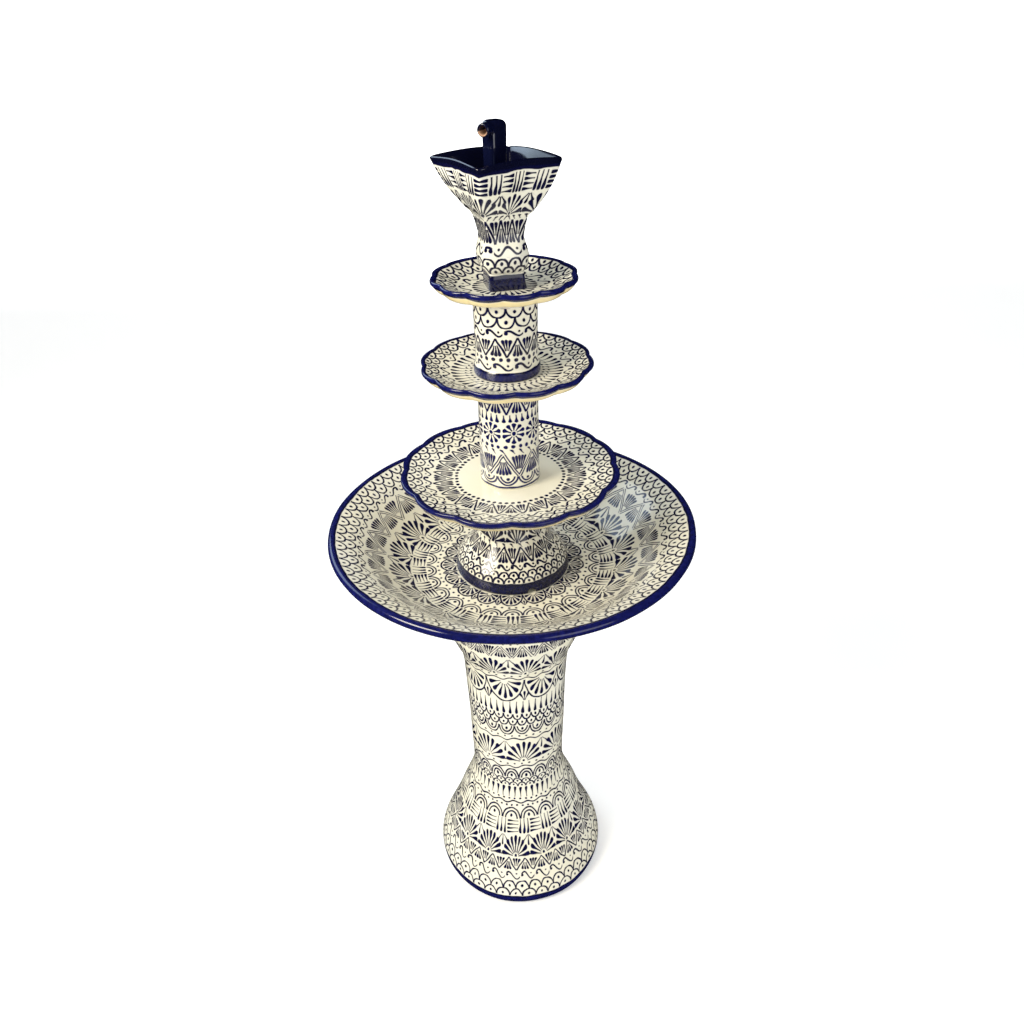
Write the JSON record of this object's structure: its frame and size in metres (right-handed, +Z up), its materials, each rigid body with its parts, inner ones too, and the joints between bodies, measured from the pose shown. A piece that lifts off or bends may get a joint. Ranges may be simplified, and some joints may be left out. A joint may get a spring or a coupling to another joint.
{
  "type": "tiered pottery water fountain",
  "caption": "Floor-standing water fountain: hollow pedestal, wide basin, scalloped plates on columns and a square top bowl with a bent spout.",
  "frame": {"origin": "centre of the pedestal's foot, on the floor", "axes": "+Z up along the pedestal and the columns; the front, towards which the spout mostly points, is -Y; +X is to the right seen from the front"},
  "size_m": [0.61, 0.61, 1.43],
  "materials": {
    "glazed_pottery": "glossy cream glaze with hand-painted navy slip lines",
    "navy_glaze": "glossy near-black navy glaze",
    "black_rubber": "matt",
    "clear_vinyl": "clear, slightly cloudy",
    "clamp_steel": "satin",
    "pump_plastic": "fine moulded grain",
    "dial_plastic": "satin",
    "impeller_plastic": "satin",
    "magnet": "dull",
    "shaft_ceramic": "polished",
    "core_steel": "laminated, varnished",
    "copper_winding": "enamelled wire",
    "sponge": "open foam"
  },
  "bodies": {
    "pedestal": {"pedestal": "glazed_pottery", "basin_gasket": "black_rubber"},
    "basin": {"basin": "glazed_pottery", "basin_grommet": "black_rubber", "supply_tube": "clear_vinyl", "hose_clamp": "clamp_steel", "pump_housing": "pump_plastic", "pump_rear_cap": "pump_plastic", "pump_volute": "pump_plastic", "pump_volute_seal": "black_rubber", "pump_intake_cover": "pump_plastic", "pump_shaft": "shaft_ceramic", "shaft_bushings": "black_rubber", "stator_core": "core_steel", "stator_coil": "copper_winding", "filter_sponge": "sponge", "suction_cups": "black_rubber", "cord_gland": "black_rubber"},
    "rotor": {"pump_rotor": "magnet", "pump_impeller": "impeller_plastic"},
    "dial": {"flow_dial": "dial_plastic"},
    "riser": {"riser": "glazed_pottery", "riser_seal": "black_rubber"},
    "plate_large": {"plate_large": "glazed_pottery", "plate_large_grommet": "black_rubber"},
    "column_lower": {"column_lower": "glazed_pottery", "column_lower_seal": "black_rubber"},
    "plate_medium": {"plate_medium": "glazed_pottery", "plate_medium_grommet": "black_rubber"},
    "column_upper": {"column_upper": "glazed_pottery", "column_upper_seal": "black_rubber"},
    "plate_small": {"plate_small": "glazed_pottery", "plate_small_grommet": "black_rubber"},
    "top_bowl": {"top_bowl": "glazed_pottery", "spout": "navy_glaze", "spout_bushing": "black_rubber"}
  },
  "joints": [
    {"name": "basin_lift", "type": "slide", "parent": "pedestal", "child": "basin", "axis": [0, 0, 1], "range_m": [0, 0.06]},
    {"name": "riser_lift", "type": "slide", "parent": "basin", "child": "riser", "axis": [0, 0, 1], "range_m": [0, 0.06]},
    {"name": "plate_large_lift", "type": "slide", "parent": "riser", "child": "plate_large", "axis": [0, 0, 1], "range_m": [0, 0.05]},
    {"name": "column_lower_lift", "type": "slide", "parent": "plate_large", "child": "column_lower", "axis": [0, 0, 1], "range_m": [0, 0.05]},
    {"name": "plate_medium_lift", "type": "slide", "parent": "column_lower", "child": "plate_medium", "axis": [0, 0, 1], "range_m": [0, 0.05]},
    {"name": "column_upper_lift", "type": "slide", "parent": "plate_medium", "child": "column_upper", "axis": [0, 0, 1], "range_m": [0, 0.05]},
    {"name": "plate_small_lift", "type": "slide", "parent": "column_upper", "child": "plate_small", "axis": [0, 0, 1], "range_m": [0, 0.05]},
    {"name": "top_bowl_lift", "type": "slide", "parent": "plate_small", "child": "top_bowl", "axis": [0, 0, 1], "range_m": [0, 0.05]},
    {"name": "rotor_spin", "type": "hinge", "parent": "basin", "child": "rotor", "pos_m": [0, 0.02, 0.754], "axis": [0, 1, 0], "continuous": true},
    {"name": "flow_dial_turn", "type": "hinge", "parent": "basin", "child": "dial", "pos_m": [0, -0.025, 0.754], "axis": [0, 1, 0], "range_deg": [0, 18]}
  ]
}
